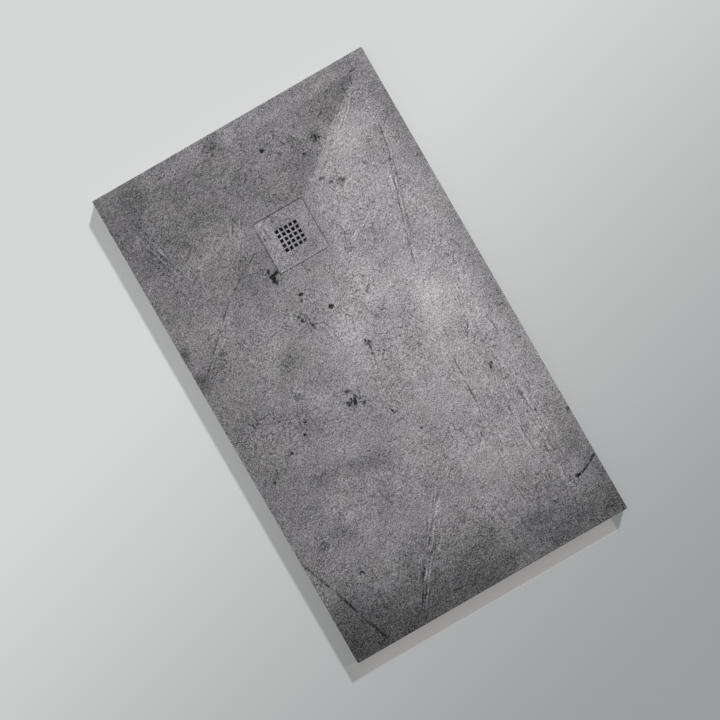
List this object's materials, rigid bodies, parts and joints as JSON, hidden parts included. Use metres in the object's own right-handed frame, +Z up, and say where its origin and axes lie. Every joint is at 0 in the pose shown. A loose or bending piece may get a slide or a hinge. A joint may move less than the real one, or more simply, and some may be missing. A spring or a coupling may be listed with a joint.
{
  "type": "shower tray",
  "caption": "Extra-flat rectangular shower tray whose floor falls to an off-centre waste under a square pierced cover, with clamping flange, lift-out trap insert and swivelling outlet.",
  "frame": {"origin": "centre of the slab's flat underside", "axes": "+Z up, out of the floor; +Y along the length of the slab, towards the waste; X across the slab"},
  "size_m": [0.7, 1.2, 0.0998],
  "materials": {
    "cement_gelcoat": "matte",
    "cover_gelcoat": "matte",
    "soft_rubber": "matte",
    "flange_steel": "satin",
    "screw_steel": "polished",
    "insert_brass": "satin",
    "trap_plastic": "satin",
    "nut_plastic": "satin",
    "slip_plastic": "gloss",
    "insert_plastic": "satin",
    "strainer_plastic": "satin"
  },
  "bodies": {
    "root": {"tray_slab": "cement_gelcoat", "waste_flange": "flange_steel", "upper_gasket": "soft_rubber", "lower_gasket": "soft_rubber", "flange_screws": "screw_steel", "screw_inserts": "insert_brass", "trap_body": "trap_plastic", "ball_seal": "soft_rubber", "slip_ring": "slip_plastic", "union_nut": "nut_plastic"},
    "cover": {"waste_cover": "cover_gelcoat", "cover_pads": "soft_rubber"},
    "strainer": {"hair_strainer": "strainer_plastic"},
    "trap_insert": {"dip_tube": "insert_plastic", "dip_tube_seal": "soft_rubber", "trap_cup": "insert_plastic"},
    "outlet": {"outlet_spigot": "trap_plastic"}
  },
  "joints": [
    {"name": "cover_lift", "type": "slide", "parent": "root", "child": "cover", "axis": [0, 0, 1], "range_m": [0, 0.26]},
    {"name": "strainer_lift", "type": "slide", "parent": "root", "child": "strainer", "axis": [0, 0, 1], "range_m": [0, 0.156]},
    {"name": "insert_lift", "type": "slide", "parent": "root", "child": "trap_insert", "axis": [0, 0, 1], "range_m": [0, 0.0936]},
    {"name": "outlet_swivel", "type": "hinge", "parent": "root", "child": "outlet", "pos_m": [0, 0.396, -0.038], "axis": [0, 0, 1], "range_deg": [-12, 12]}
  ],
  "couplings": [
    {"joint": "strainer_lift", "follows": "cover_lift", "ratio": 0.6},
    {"joint": "insert_lift", "follows": "cover_lift", "ratio": 0.36}
  ]
}
